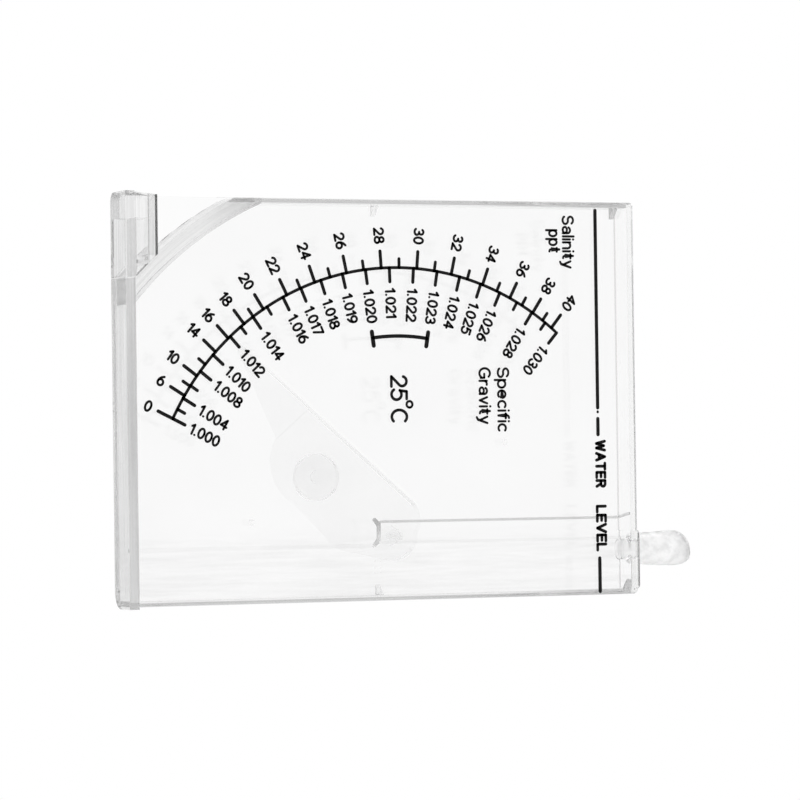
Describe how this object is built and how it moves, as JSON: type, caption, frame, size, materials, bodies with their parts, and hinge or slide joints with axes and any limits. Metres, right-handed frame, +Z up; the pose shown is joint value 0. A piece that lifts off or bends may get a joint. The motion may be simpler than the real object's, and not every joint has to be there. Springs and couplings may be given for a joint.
{
  "type": "swing-arm hydrometer",
  "caption": "Flat clear box on a foot, with a weighted arm that swings on a pin against a printed arc scale, and a stopper in its top.",
  "frame": {"origin": "centre of the foot's underside, at the middle of the whole part's width and depth", "axes": "+Z up along the case's height, +Y from the printed front face towards the back, +X towards the filler side"},
  "size_m": [0.1218, 0.013, 0.1848],
  "materials": {
    "clear_panel": "polished clear sheet, colourless, printed in black on the front",
    "clear_wall": "clear strip with saw-cut edges that look grey",
    "clear_block": "thick clear block, colourless, polished",
    "clear_rib": "clear moulded thin wall with sharp grey edges",
    "clear_boss": "small clear moulded boss or peg",
    "bearing_plastic": "natural white plastic bush",
    "pin_plastic": "smooth natural plastic pin",
    "arm_plastic": "translucent frosted plastic",
    "ballast_plastic": "pale plastic disc",
    "stopper_silicone": "translucent silicone with a grainy look"
  },
  "bodies": {
    "case": {"base_foot": "clear_block", "front_panel": "clear_panel", "back_panel": "clear_panel", "left_wall": "clear_wall", "right_wall": "clear_wall", "corner_block": "clear_block", "top_wall": "clear_wall", "filler_cap": "clear_block", "pivot_channel": "clear_rib", "divider_rib": "clear_rib", "front_bearing": "bearing_plastic", "rear_bearing": "clear_boss", "low_stop": "clear_boss", "high_stop": "clear_boss"},
    "arm": {"swing_arm": "arm_plastic", "ballast_disc": "ballast_plastic", "pivot_pin": "pin_plastic"},
    "stopper": {"stopper": "stopper_silicone"}
  },
  "joints": [
    {"name": "arm_swing", "type": "hinge", "parent": "case", "child": "arm", "pos_m": [0.0411, 0, 0.0856], "axis": [0, 1, 0], "range_deg": [-25, 85.9]},
    {"name": "stopper_pull", "type": "slide", "parent": "case", "child": "stopper", "axis": [0, 0, 1], "range_m": [0, 0.03]}
  ]
}
